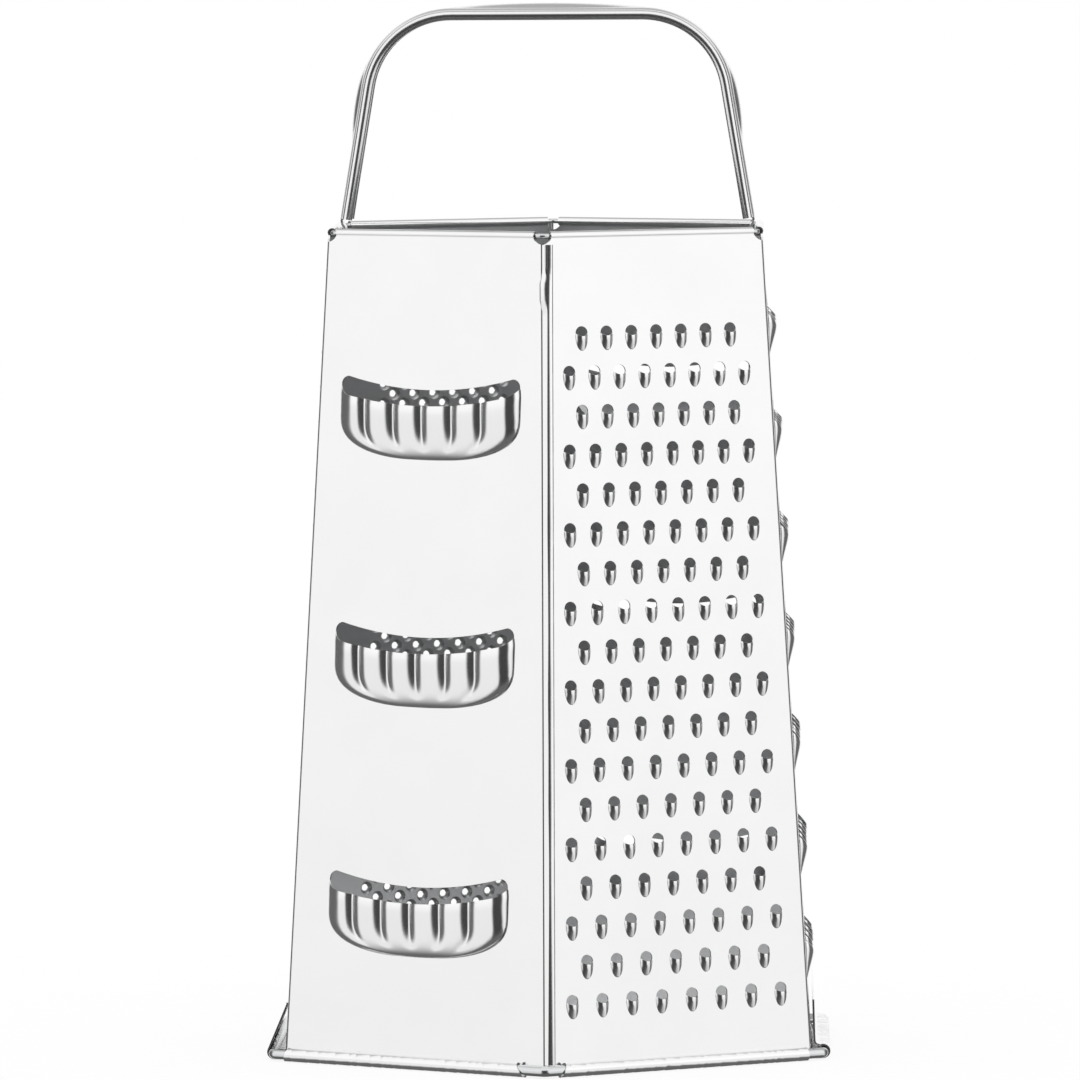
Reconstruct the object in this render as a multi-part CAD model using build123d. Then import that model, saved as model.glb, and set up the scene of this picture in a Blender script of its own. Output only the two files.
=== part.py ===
from build123d import *

import os
from math import asin, atan, ceil, cos, degrees, floor, pi, radians, sin, tan

os.makedirs("parts", exist_ok=True)

# Every length is in millimetres. +Z is up, the part stands on Z = 0 with its
# axis on the origin, and the front lock seam faces -Y.

# Body: six sheet walls round a tapered hexagon, measured across the flats.
flats_at_base = 117.4
flats_at_rim = 96.4
rim_height = 185.3
sheet = 0.4
bend_radius = 1.2
overrun = 1.0

# Curves are made in straight steps that turn so many degrees.
roll_step = 30
bead_step = 45
elbow_step = 15
slot_step = 5
slot_end_step = 45

# Wires inside the rolled rim and the base hem.
rim_wire = 1.1
rim_wire_bend = 1.6
base_wire = 2.3
base_wire_bend = 2.6
wire_clearance = 0.05
foot_flat_depth = 0.03

# Rolled rim, and the notch that each corner has in it.
rim_notch_radius = 2.3
rim_notch_drop = 0.5
rim_roll_turn = 300

# Base hem, its gaps at the corners and the turned-up tails of the side walls.
hem_turn = 325
hem_gap_at_bend = 2.4
hem_gap_at_seam = 5.4
side_wire_offset = 2.6
left_tail_height = 12.4
right_tail_height = 13.5
right_tail_offset = 1.1
tail_bend = 1.3

# Lock seams at the front and back corners.
seam_width = 2.5
seam_gap = 0.06

# Slicer openings and blades, three to a wall, at shares of the wall's height.
slicer_lip_shares = (0.1994, 0.4968, 0.7915)
slicer_half_width = 23.2
slot_width = 3.75
slot_sagitta = 2.8
blade_depth = 11.9
blade_square_depth = 5.2
blade_height = 2.6
blade_side_run = 1.8
flute_pitch = 7.56
flute_offset = -1.0
flute_count = 5
flute_depth = 1.35
flute_length = 9.0
outline_power = 2.5

# Teeth are in rows, as many as fit between the plain bands at the rim and base.
# Medium teeth: rows of seven and eight by turns, fanning out with the taper.
medium_row_pitch = 8.63
medium_rim_band = 23.6
medium_base_band = 13.5
medium_pitch_share = 0.2235
medium_width = 3.2
medium_height = 1.75
medium_length = 4.25
medium_lip_slope = 0.6
medium_facets = 2

# Coarse teeth.
coarse_row_pitch = 23.3
coarse_rim_band = 22.4
coarse_base_band = 18.5
coarse_columns = 5
coarse_pitch_share = 0.36
coarse_width = 7.6
coarse_height = 2.1
coarse_length = 9.7
coarse_lip_slope = 1.2
coarse_facets = 4

# Fine teeth: small closed points, facing up and down by turns.
fine_row_pitch = 9.68
fine_rim_band = 24.6
fine_base_band = 14.5
fine_pitch_share = 0.235
fine_width = 2.2
fine_height = 0.55
fine_length = 2.6

# Rasp points: four-sided burrs in staggered rows, spread as the medium teeth are.
rasp_row_pitch = 7.86
rasp_rim_band = 20.5
rasp_base_band = 15.5
rasp_pitch_share = 0.294
rasp_width = 2.5
rasp_height = 0.6

# Handle: a strip with rolled edges, and tongues that hook under the rim.
handle_rise = 47.2
handle_foot_gap = 1.3
handle_inset = 0.95
handle_lean = 9.4
handle_elbow = 19.1
handle_sheet = 0.5
handle_bead = 2.7
handle_width = 13.5
handle_bead_turn = 290
top_rib_length = 44.0
top_rib_height = 1.1
leg_rib_length = 19.0
leg_rib_height = 1.0
leg_rib_drop = 20.0
rib_width = 6.5
rib_facets = 5
tongue_width = 9.0
tongue_clearance = 0.25
tongue_bend = 0.45

corner_angle = 30
corner_count = 6
base_apothem = flats_at_base / 2
lean = atan((flats_at_base - flats_at_rim) / 2 / rim_height)
rim_roll = rim_wire / 2 + wire_clearance + sheet
base_roll = base_wire / 2 + wire_clearance + sheet
rim_slope = rim_height / cos(lean)
handle_top = rim_height + handle_rise
handle_foot = rim_height + handle_foot_gap
handle_half_span = flats_at_rim / 2 - rim_roll * 2 - handle_inset

# The wall that is being made faces -Y. On it u runs to the right, v up the
# slope and w out of the sheet, from the middle of the base edge.
wall_plane = Plane((0, -base_apothem, 0), x_dir=(1, 0, 0), z_dir=(0, -cos(lean), sin(lean)))
profile_plane = Plane((0, -base_apothem, 0), x_dir=(0, -cos(lean), sin(lean)), z_dir=(-1, 0, 0))


def apothem(z):
    return base_apothem - z * tan(lean)


def half_width(v, w=0):
    return (base_apothem - v * sin(lean) + w * cos(lean)) * tan(radians(corner_angle))


def line_height(w, z):
    """Height v up the slope of the point that stands w off the sheet at level z."""
    return (z - w * sin(lean)) / cos(lean)


# Curls, hems and seams: a centre line in the sheet, given the sheet's width.
def folded(path, thickness=sheet, step=roll_step):
    last = path.edges()[-1]
    return trace(Polyline(*in_steps(path, step), last @ 1), line_width=thickness)


def skinned(outlines):
    """Solid with flat faces through outlines that have as many points each."""
    faces = [Face(Wire.make_polygon(outlines[0])), Face(Wire.make_polygon(outlines[-1]))]
    for low, high in zip(outlines, outlines[1:]):
        for i in range(len(low)):
            faces.append(Face(Wire.make_polygon([low[i - 1], low[i], high[i]])))
            faces.append(Face(Wire.make_polygon([low[i - 1], high[i], high[i - 1]])))
    return Solid(Shell(faces)).clean()


def peaked(outline, tip):
    """Solid with flat faces from an outline to a tip."""
    faces = [Face(Wire.make_polygon(outline))]
    for i in range(len(outline)):
        faces.append(Face(Wire.make_polygon([outline[i - 1], outline[i], tip])))
    return Solid(Shell(faces))


def in_steps(path, step_angle):
    """Points along the path, with each of its arcs in straight steps that turn so far at most."""
    points = []
    for edge in path.edges():
        arc = edge.geom_type == GeomType.CIRCLE
        count = ceil(degrees(edge.length / edge.radius) / step_angle) if arc else 1
        points += [edge @ (i / count) for i in range(count)]
    return points


# A flat wall with half a bend at each side, cut where it meets its neighbour.
def bend_run():
    return bend_radius * tan(radians(corner_angle))


def flat_outline(z):
    reach = apothem(z) * tan(radians(corner_angle)) - bend_run()
    outer, inner = -apothem(z), sheet - apothem(z)
    return [(-reach, outer, z), (reach, outer, z), (reach, inner, z), (-reach, inner, z)]


def half_bend(z):
    centre = (apothem(z) * tan(radians(corner_angle)) - bend_run(), bend_radius - apothem(z))
    line = CenterArc(centre, bend_radius - sheet / 2, -90, corner_angle)
    return Pos(0, 0, z) * trace(line, line_width=sheet)


def panel():
    foot = hem_centre(0)[1] * cos(lean)
    top = (rim_slope - rim_roll) * cos(lean)
    rise = top - foot
    inward = rise * tan(lean)
    run = Vector(-inward * tan(radians(corner_angle)), inward, rise)
    bend = extrude(half_bend(foot), amount=run.length, dir=run.normalized())
    return skinned([flat_outline(foot), flat_outline(top)]) + bend + mirror(bend, about=Plane.YZ)


def rim_curl():
    centre = (-rim_roll, rim_slope - rim_roll)
    curl = CenterArc(centre, rim_roll - sheet / 2, 0, rim_roll_turn)
    length = half_width(rim_slope) - rim_notch_radius
    return extrude(profile_plane * folded(curl), amount=length, both=True)


def rim_notches():
    notches = Sketch()
    for side in (-1, 1):
        spot = Pos(side * half_width(rim_slope), rim_slope - rim_notch_drop)
        notches += spot * RegularPolygon(rim_notch_radius, round(360 / roll_step))
    return extrude(wall_plane * notches, amount=rim_roll * 2, both=True)


def hem_centre(offset):
    level = base_roll - foot_flat_depth
    return (offset, line_height(offset, level))


# The hem stops short of both corners.
def base_hem(curl, gap_left, gap_right):
    left, right = half_width(0) - gap_left, half_width(0) - gap_right
    hem = extrude(profile_plane * folded(curl), amount=left)
    hem += extrude(profile_plane * folded(curl), amount=-right)
    foot = Pos(0, -base_apothem, -overrun / 2) * Box(flats_at_base, flats_at_base, overrun)
    return hem - foot


# A close hem: once round the wire and back to the sheet.
def close_hem_curl():
    return CenterArc(hem_centre(base_roll - sheet), base_roll - sheet / 2, 180, hem_turn)


# The side walls' hem goes under and round the wire, and its tail rises to
# the wall. The left tail leans on the wall, the right one is pressed along it.
def tail_hem_curl(tail):
    w, v = hem_centre(side_wire_offset)
    radius = base_roll - sheet / 2
    wall = -sheet / 2
    under = v - radius
    down = Line((wall, v + base_roll), (wall, under + tail_bend))
    turn = CenterArc((wall + tail_bend, under + tail_bend), tail_bend, 180, 90)
    run = Line((wall + tail_bend, under), (w, under))
    distance_w, distance_v = w - tail[0][0], tail[0][1] - v
    reach = (distance_w**2 + distance_v**2) ** 0.5
    tangent = atan(distance_w / distance_v) + atan(radius / (reach**2 - radius**2) ** 0.5)
    wrap = CenterArc((w, v), radius, -90, 90 + degrees(tangent))
    leave = (w + radius * cos(tangent), v + radius * sin(tangent))
    return Wire([down, turn, run, wrap] + Polyline(leave, *tail).edges())


def left_tail():
    near = sheet / 2 + wire_clearance
    return tail_hem_curl([(near, left_tail_height), (near, left_tail_height + sheet)])


def right_tail():
    shoulder = hem_centre(side_wire_offset)[1] + base_roll * 2
    return tail_hem_curl([(right_tail_offset, shoulder), (right_tail_offset, right_tail_height)])


# Lock seam: each sheet's edge is folded back on itself and hooks the other.
# Both folds are drawn on the wall that has the seam at its left edge, where
# layers lie one sheet and one gap apart.
seam_layer = sheet + seam_gap


def seam_corner():
    return Plane((-half_width(0), -base_apothem, 0), x_dir=(1, 0, 0), z_dir=(0, 0, 1))


def seam_run(path):
    bottom = base_roll + base_wire / 2 + wire_clearance
    top = (rim_slope - rim_notch_radius - rim_notch_drop) * cos(lean)
    slope = Vector(half_width(0) - half_width(rim_slope), base_apothem - apothem(rim_height), rim_height)
    fold = seam_corner() * folded(path)
    fold = Pos(slope * (bottom / rim_height)) * fold
    return extrude(fold, amount=slope.length * (top - bottom) / rim_height, dir=slope.normalized())


def seam_near():
    return seam_layer * 2


def seam_far():
    return seam_width - seam_layer - sheet / 2


def inner_fold():
    middle = sheet / 2 - seam_layer
    wall = Line((seam_far(), sheet / 2), (seam_near(), sheet / 2))
    back = CenterArc((seam_near(), middle), seam_layer, 90, 180)
    over = Line((seam_near(), middle - seam_layer), (seam_far(), middle - seam_layer))
    return Wire([wall, back, over])


def outer_fold():
    low = sheet / 2 - seam_layer
    high = low - seam_layer * 2
    under = Line((seam_near(), low), (seam_far(), low))
    turn = CenterArc((seam_far(), (low + high) / 2), seam_layer, 90, -180)
    over = Line((seam_far(), high), (0, high))
    knuckle = Line((0, high), (-sheet * 0.75, sheet * 1.4))
    return Wire([under, turn, over, knuckle])


# One punched tooth with its mouth at the origin, hooded towards -v. Its lip
# slopes back as it rises, and the hole in the sheet is a half round above it.
def hood(half, height, length, lip_slope, facets, floor):
    arc = [(-half * cos(pi * i / facets), height * sin(pi * i / facets)) for i in range(facets + 1)]
    lip = [(-half, floor)] + arc + [(half, floor)]
    outline = [wall_plane.from_local_coords((u, -lip_slope * w, w)) for u, w in lip]
    return peaked(outline, wall_plane.from_local_coords((0, -length, -sheet / 4)))


def tooth_cutter(width, height, length, lip_slope, facets):
    half = width / 2 - sheet
    under = hood(half, height, length, lip_slope, facets, -sheet)
    under = wall_plane.location * Pos(0, 0, -sheet) * wall_plane.location.inverse() * under
    half_round = [(half * cos(pi * i / facets), half * sin(pi * i / facets)) for i in range(facets + 1)]
    hole = wall_plane * make_face(Polyline(*half_round, close=True))
    return under + extrude(hole, amount=sheet * 2, both=True)


def on_wall(u, v, turned=False):
    spin = Rot(0, 0, 180) if turned else Rot(0, 0, 0)
    return wall_plane.location * Pos(u, v, 0) * spin * wall_plane.location.inverse()


def row_places(rim_band, base_band, row_pitch, columns, pitch_share):
    """Places of the teeth, row by row, and the row's number."""
    places = []
    rows = 1 + floor((rim_slope - rim_band - base_band) / row_pitch)
    for row in range(rows):
        v = rim_slope - rim_band - row_pitch * row
        count = columns[row % len(columns)]
        pitch = pitch_share * half_width(v)
        places += [(row, (i - (count - 1) / 2) * pitch, v) for i in range(count)]
    return places


def punched(wall, places, width, height, length, lip_slope, facets):
    rise = (length - width / 2) / 2
    one_hood = hood(width / 2, height, length, lip_slope, facets, -sheet / 2)
    one_cut = tooth_cutter(width, height, length, lip_slope, facets)
    spots = [on_wall(u, v + rise) for _, u, v in places]
    wall = wall + [spot * one_hood for spot in spots]
    return wall - [spot * one_cut for spot in spots]


def pointed(wall, places, width, height, length):
    point = hood(width / 2, height, length, 0, 2, -sheet / 2)
    return wall + [on_wall(u, v, row % 2 == 1) * point for row, u, v in places]


def burred(wall, places, width, height):
    foot = [(-width / 2, 0), (0, -width / 2), (width / 2, 0), (0, width / 2)]
    outline = [wall_plane.from_local_coords((u, v, -sheet / 2)) for u, v in foot]
    burr = peaked(outline, wall_plane.from_local_coords((0, 0, height)))
    return wall + [on_wall(u, v) * burr for _, u, v in places]


# Slicer: a curved slot with a pressed-out blade under it. The blade's outline
# keeps its width for blade_square_depth and then rounds to its foot.
def blade_half_width(depth, inset=0):
    below = max(0, depth - blade_square_depth) / (blade_depth - inset - blade_square_depth)
    return (slicer_half_width - inset) * (1 - below**outline_power) ** (1 / outline_power)


def blade_crown(depth, inset=0):
    share = (depth + slot_sagitta) / (blade_depth + slot_sagitta)
    slope_share, foot_share, foot_power = 0.25, 0.7, 6
    return blade_height * (1 - slope_share * share - foot_share * share**foot_power) - inset


def blade_outline(lip, depth, fluted, inset, floor):
    half = blade_half_width(depth, inset)
    crown = blade_crown(depth, inset)
    fade = max(0, 1 - max(0, depth) / flute_length)
    squeeze = half / (slicer_half_width - inset)
    shoulder = half - blade_side_run * squeeze
    first = flute_offset - flute_pitch * (flute_count - 1) / 2
    valleys = [(first + flute_pitch * i) * squeeze for i in range(flute_count)] if fluted else []
    joints = [-shoulder] + valleys + [shoulder]
    shoulder_share, lobe_shares = 0.8, (0.25, 0.75)
    points = [(-half, floor), (-half, 0), (-shoulder, crown * shoulder_share)]
    for start, end in zip(joints, joints[1:]):
        points += [(start + (end - start) * share, crown) for share in lobe_shares]
        points.append((end, crown - flute_depth * fade))
    points[-1] = (shoulder, crown * shoulder_share)
    points += [(half, 0), (half, floor)]
    return [wall_plane.from_local_coords((u, lip - depth, w)) for u, w in points]


blade_depth_shares = (0.45, 0.8, 0.96)


def blade_body(lip, fluted, inset, floor):
    depths = [-slot_sagitta - sheet] + [(blade_depth - inset) * share for share in blade_depth_shares]
    return skinned([blade_outline(lip, depth, fluted, inset, floor) for depth in depths])


def slot_outline(lip):
    """Points round the slot: its curved sides and its round ends in straight steps."""
    end_u = slicer_half_width - slot_width / 2
    radius = (end_u**2 + slot_sagitta**2) / slot_sagitta / 2
    turn = degrees(asin(end_u / radius))
    centre = (0, lip + slot_width / 2 + radius)
    low = CenterArc(centre, radius + slot_width / 2, -90 - turn, turn * 2)
    high = CenterArc(centre, radius - slot_width / 2, turn - 90, -turn * 2)
    right = CenterArc((low @ 1 + high @ 0) / 2, slot_width / 2, turn - 90, 180)
    left = CenterArc((high @ 1 + low @ 0) / 2, slot_width / 2, 90 - turn, 180)
    sides = [(low, slot_step), (right, slot_end_step), (high, slot_step), (left, slot_end_step)]
    return [point for side, step in sides for point in in_steps(side, step)]


def slot_cutter(lip):
    slot = make_face(Polyline(*slot_outline(lip), close=True))
    return extrude(wall_plane * slot, amount=blade_height + sheet, both=True)


def sliced(wall, fluted):
    for share in slicer_lip_shares:
        lip = rim_slope * share
        wall += blade_body(lip, fluted, 0, -sheet / 2)
        wall -= blade_body(lip, fluted, sheet, -sheet * 2)
        wall -= slot_cutter(lip)
    return wall


# Walls, each made facing -Y and then turned about the axis to its place.
def bare_wall(curl, gap_left=hem_gap_at_bend, gap_right=hem_gap_at_bend):
    wall = panel() + rim_curl() - rim_notches()
    return wall + base_hem(curl, gap_left, gap_right)


def wavy_slicer_wall():
    wall = sliced(bare_wall(close_hem_curl(), gap_right=hem_gap_at_seam), fluted=True)
    return wall + Rot(0, 0, 60) * seam_run(outer_fold())


def straight_slicer_wall():
    wall = sliced(bare_wall(close_hem_curl(), gap_right=hem_gap_at_seam), fluted=False)
    return wall + Rot(0, 0, 60) * seam_run(outer_fold())


def medium_grater_wall():
    bands = (medium_rim_band, medium_base_band)
    places = row_places(*bands, medium_row_pitch, (7, 8), medium_pitch_share)
    wall = bare_wall(close_hem_curl(), gap_left=hem_gap_at_seam)
    wall = punched(wall, places, medium_width, medium_height, medium_length, medium_lip_slope, medium_facets)
    return wall + seam_run(inner_fold())


def coarse_grater_wall():
    bands = (coarse_rim_band, coarse_base_band)
    places = row_places(*bands, coarse_row_pitch, (coarse_columns,), coarse_pitch_share)
    wall = bare_wall(right_tail())
    return punched(wall, places, coarse_width, coarse_height, coarse_length, coarse_lip_slope, coarse_facets)


def fine_grater_wall():
    bands = (fine_rim_band, fine_base_band)
    places = row_places(*bands, fine_row_pitch, (7, 8), fine_pitch_share)
    wall = bare_wall(left_tail())
    return pointed(wall, places, fine_width, fine_height, fine_length)


def rasp_wall():
    bands = (rasp_rim_band, rasp_base_band)
    places = row_places(*bands, rasp_row_pitch, (5, 6), rasp_pitch_share)
    wall = bare_wall(close_hem_curl(), gap_left=hem_gap_at_seam)
    return burred(wall, places, rasp_width, rasp_height) + seam_run(inner_fold())


# Wires: closed hexagons of round rod.
def meeting(first, first_angle, second, second_angle):
    """Corner of two lines that stand so far from the axis, facing those angles."""
    a, b = radians(first_angle), radians(second_angle)
    spread = sin(b - a)
    return ((first * sin(b) - second * sin(a)) / spread, (second * cos(a) - first * cos(b)) / spread)


def wire_ring(points, level, thickness, bend):
    bent = FilletPolyline(*points, radius=bend, close=True)
    path = Pos(0, 0, level) * Polyline(*in_steps(bent, roll_step), close=True)
    section = Plane(path @ 0, z_dir=path % 0) * RegularPolygon(thickness / 2, round(360 / roll_step))
    return sweep(section.face(), path=path, transition=Transition.RIGHT)


def rim_wire_ring():
    slope = rim_slope - rim_roll
    distance = base_apothem - slope * sin(lean) - rim_roll * cos(lean)
    level = slope * cos(lean) - rim_roll * sin(lean)
    points = [meeting(distance, 60 * i, distance, 60 * i + 60) for i in range(corner_count)]
    return wire_ring(points, level, rim_wire, rim_wire_bend)


# The base wire lies close to the four sloping walls, and stands further off
# the two side walls.
def base_wire_ring():
    level = base_roll - foot_flat_depth
    close = apothem(level) + base_roll - sheet
    side = apothem(level) + side_wire_offset
    distances = [side, close, close] * 2
    points = [
        meeting(distances[i - 1], 60 * i - 60, distances[i], 60 * i)
        for i in range(corner_count)
    ]
    return wire_ring(points, level, base_wire, base_wire_bend)


# Handle: a leaning leg, an elbow and half of the level grip, then mirrored.
def web_offset():
    return (handle_bead - handle_sheet) / 2


def handle_section():
    centre = (handle_width - handle_bead) / 2
    left = CenterArc((-centre, 0), web_offset(), 90, handle_bead_turn)
    web = Line((-centre, web_offset()), (centre, web_offset()))
    right = CenterArc((centre, 0), web_offset(), 90, -handle_bead_turn)
    return folded(Wire([left, web, right]), handle_sheet, bead_step)


def half_strip():
    centre_z = handle_top - handle_elbow
    tilt = radians(handle_lean)
    centre_x = handle_half_span - (centre_z - handle_foot) * tan(tilt) - handle_elbow / cos(tilt)
    elbow = CenterArc((-centre_x, centre_z), handle_elbow, 180 - handle_lean, handle_lean - 90)
    foot = (-handle_half_span, handle_foot)
    path = Plane.XZ * Polyline(foot, *in_steps(elbow, elbow_step), elbow @ 1, (0, handle_top))
    start = Plane(path @ 0, x_dir=(0, 1, 0), z_dir=path % 0)
    return sweep((start * handle_section()).face(), path=path, transition=Transition.RIGHT)


# A raised rib: a bow along the strip that is also bowed across it, in flat
# facets.
def bow(length, height):
    arc = ThreePointArc((-length / 2, 0), (0, height), (length / 2, 0))
    crown = [arc @ (i / rib_facets) for i in range(rib_facets + 1)]
    deep = -handle_sheet
    return make_face(Polyline(*crown, (length / 2, deep), (-length / 2, deep), close=True))


def rib(length, height):
    along = extrude(Plane.XZ * bow(length, height), amount=rib_width / 2, both=True)
    crosswise = extrude(Plane.YZ * bow(rib_width, height), amount=length / 2, both=True)
    return along & crosswise


def leg_face():
    tilt = radians(handle_lean)
    centre_z = handle_top - leg_rib_drop
    x = handle_half_span - (centre_z - handle_foot) * tan(tilt)
    normal = Vector(-cos(tilt), 0, sin(tilt))
    spot = Vector(-x, 0, centre_z) + normal * (handle_bead / 2)
    return Plane(spot, x_dir=(sin(tilt), 0, cos(tilt)), z_dir=normal)


def ribbed(strip, face, length, height):
    raised = rib(length, height)
    return strip + face * raised - face * Pos(0, 0, -handle_sheet * 1.2) * raised


# Each leg ends in a narrower tongue that goes down inside the rolled rim and
# turns out under it.
def tongue():
    tilt = radians(handle_lean)
    web_x = handle_half_span + web_offset() * cos(tilt)
    web_z = handle_foot + web_offset() * sin(tilt)
    slope = rim_slope - rim_roll
    roll_x = base_apothem - slope * sin(lean) - rim_roll * cos(lean)
    roll_z = slope * cos(lean) - rim_roll * sin(lean)
    clear = rim_roll + tongue_clearance + handle_sheet / 2
    end_x = apothem(roll_z - clear) - sheet - tongue_clearance
    line = FilletPolyline(
        (-web_x + handle_bead * sin(tilt), web_z + handle_bead * cos(tilt)),
        (-web_x, web_z),
        (clear - roll_x, roll_z + rim_roll / 2),
        (clear - roll_x, roll_z - clear),
        (-end_x, roll_z - clear),
        radius=tongue_bend,
    )
    return extrude(Plane.XZ * folded(line, handle_sheet), amount=tongue_width / 2, both=True)


def handle_strip():
    half = ribbed(half_strip(), leg_face(), leg_rib_length, leg_rib_height) + tongue()
    strip = half + mirror(half, about=Plane.YZ)
    top_face = Plane((0, 0, handle_top + handle_bead / 2))
    return ribbed(strip, top_face, top_rib_length, top_rib_height)


# Walls stand round the axis in this order, by the way that each one faces.
walls = {
    "medium_grater_wall": (medium_grater_wall, -60),
    "coarse_grater_wall": (coarse_grater_wall, 0),
    "straight_slicer_wall": (straight_slicer_wall, 60),
    "rasp_wall": (rasp_wall, 120),
    "fine_grater_wall": (fine_grater_wall, 180),
    "wavy_slicer_wall": (wavy_slicer_wall, 240),
}
for name, (make, angle) in walls.items():
    export_step(Rot(0, 0, angle + 90) * make(), f"parts/{name}.step")

export_step(rim_wire_ring(), "parts/rim_wire.step")
export_step(base_wire_ring(), "parts/base_wire.step")
export_step(handle_strip(), "parts/handle.step")
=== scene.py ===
from math import atan, atan2, ceil, cos, degrees, hypot, pi, radians, sin, sqrt, tan

import bmesh
import bpy
import numpy as np
from mathutils import Matrix, Vector
from mathutils.geometry import delaunay_2d_cdt


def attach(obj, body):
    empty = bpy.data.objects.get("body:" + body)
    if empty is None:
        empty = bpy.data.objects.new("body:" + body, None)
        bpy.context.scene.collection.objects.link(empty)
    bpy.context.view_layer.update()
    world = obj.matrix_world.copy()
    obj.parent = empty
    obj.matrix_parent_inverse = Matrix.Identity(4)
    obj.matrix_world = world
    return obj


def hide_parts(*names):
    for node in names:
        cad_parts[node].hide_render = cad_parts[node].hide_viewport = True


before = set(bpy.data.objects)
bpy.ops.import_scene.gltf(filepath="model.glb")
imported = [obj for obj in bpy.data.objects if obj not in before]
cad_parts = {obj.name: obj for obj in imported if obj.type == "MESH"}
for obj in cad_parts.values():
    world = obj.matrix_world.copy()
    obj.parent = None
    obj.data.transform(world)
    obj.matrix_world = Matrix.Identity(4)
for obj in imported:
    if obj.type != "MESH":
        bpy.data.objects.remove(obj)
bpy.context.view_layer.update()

# Light tent, floor and camera
# Two tall white cards stand to the left and right in front of the grater, a white
# ceiling hangs over it, and a white backdrop closes the tent behind. The dim room
# between them is what every rounded bit of metal shows as its dark bands.
MM = 0.001


def srgb(code):
    """Linear colour of a hex code."""
    values = [int(code[i:i + 2], 16) / 255 for i in (1, 3, 5)]
    linear = [v / 12.92 if v <= 0.04045 else ((v + 0.055) / 1.055) ** 2.4 for v in values]
    return (*linear, 1.0)


def add_node(tree, kind, links=(), **settings):
    """Adds a node, sets its properties or inputs, and links outputs to its inputs."""
    node = tree.nodes.new(kind)
    for key, value in settings.items():
        if hasattr(node, key):
            setattr(node, key, value)
        else:
            node.inputs[key.replace("_", " ")].default_value = value
    for socket, source in links:
        tree.links.new(source, node.inputs[socket])
    return node


room_dim, room_front = 0.13, 0.05
card_white_left, card_white_right, card_below, backdrop_white = 1.03, 1.08, 0.88, 1.0
card_bearing, low_card_turn, ceiling_front = 60.0, 20.0, 0.45

# Where each soft edge starts and ends. A bearing is in degrees to the right of the
# grater's front, a height is in degrees above the level, and a depth runs from -1
# in front of the grater to 1 behind it.
low_turn_heights, low_turn_bearings, card_shade_bearings = (-12.0, -36.0), (-5.0, 5.0), (-20.0, 20.0)
card_edge, card_foot_heights, horizon_heights = (37.0, 21.0), (-47.0, -25.0), (-6.0, 7.0)
ceiling_edge_heights, ceiling_shade_depths, room_shade_depths = (18.0, 42.0), (0.45, -0.1), (-0.95, -0.6)
backdrop_bearings, backdrop_foot_heights = (138.0, 156.0), (-40.0, -20.0)

world = bpy.data.worlds.new("studio_cards")
bpy.context.scene.world = world
world.use_nodes = True
studio = world.node_tree
studio.nodes.clear()


def calc(tree, operation, first, second=0.0):
    """Math node on sockets or numbers."""
    node = add_node(tree, "ShaderNodeMath", operation=operation)
    for socket, value in zip(node.inputs, (first, second)):
        if isinstance(value, (int, float)):
            socket.default_value = value
        else:
            tree.links.new(value, socket)
    return node.outputs[0]


def ramp(tree, value, start, end, low=0.0, high=1.0):
    """Soft step from low to high as the value goes from start to end."""
    if start > end:
        start, end, low, high = end, start, high, low
    node = add_node(
        tree, "ShaderNodeMapRange", [("Value", value)], interpolation_type="SMOOTHSTEP",
        From_Min=start, From_Max=end, To_Min=low, To_Max=high,
    )
    return node.outputs[0]


way = add_node(studio, "ShaderNodeTexCoord")
parts = add_node(studio, "ShaderNodeSeparateXYZ", [(0, way.outputs["Generated"])])
to_right, to_back, to_top = parts.outputs[0], parts.outputs[1], parts.outputs[2]
bearing = calc(studio, "DEGREES", calc(studio, "ARCTAN2", to_right, calc(studio, "MULTIPLY", to_back, -1.0)))
elevation = calc(studio, "DEGREES", calc(studio, "ARCSINE", to_top))
turned_away = calc(studio, "ABSOLUTE", bearing)
low_turn = ramp(studio, elevation, *low_turn_heights, 0.0, low_card_turn)
low_right = calc(studio, "MULTIPLY", low_turn, ramp(studio, bearing, *low_turn_bearings))
card_middle = calc(studio, "ADD", low_right, card_bearing)
off_card = calc(studio, "ABSOLUTE", calc(studio, "SUBTRACT", turned_away, card_middle))
on_card = ramp(studio, off_card, *card_edge)
above_floor = ramp(studio, elevation, *card_foot_heights)
card = calc(studio, "MULTIPLY", on_card, above_floor)
white_above = ramp(studio, bearing, *card_shade_bearings, card_white_left, card_white_right)
horizon = ramp(studio, elevation, *horizon_heights)
card_shade = add_node(studio, "ShaderNodeMix", [(0, horizon), (3, white_above)], data_type="FLOAT")
card_shade.inputs[2].default_value = card_below
overhead = ramp(studio, elevation, *ceiling_edge_heights)
overhead_shade = ramp(studio, to_back, *ceiling_shade_depths, ceiling_front, 1.0)
room = ramp(studio, to_back, *room_shade_depths, room_front, room_dim)
far_behind = ramp(studio, turned_away, *backdrop_bearings)
on_backdrop = calc(studio, "MULTIPLY", far_behind, ramp(studio, elevation, *backdrop_foot_heights))
behind = add_node(studio, "ShaderNodeMix", [(0, on_backdrop), (2, room)], data_type="FLOAT")
behind.inputs[3].default_value = backdrop_white
lit_side = add_node(
    studio,
    "ShaderNodeMix",
    [(0, card), (2, behind.outputs[0]), (3, card_shade.outputs[0])],
    data_type="FLOAT",
)
glow = add_node(
    studio,
    "ShaderNodeMix",
    [(0, overhead), (2, lit_side.outputs[0]), (3, overhead_shade)],
    data_type="FLOAT",
)
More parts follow.
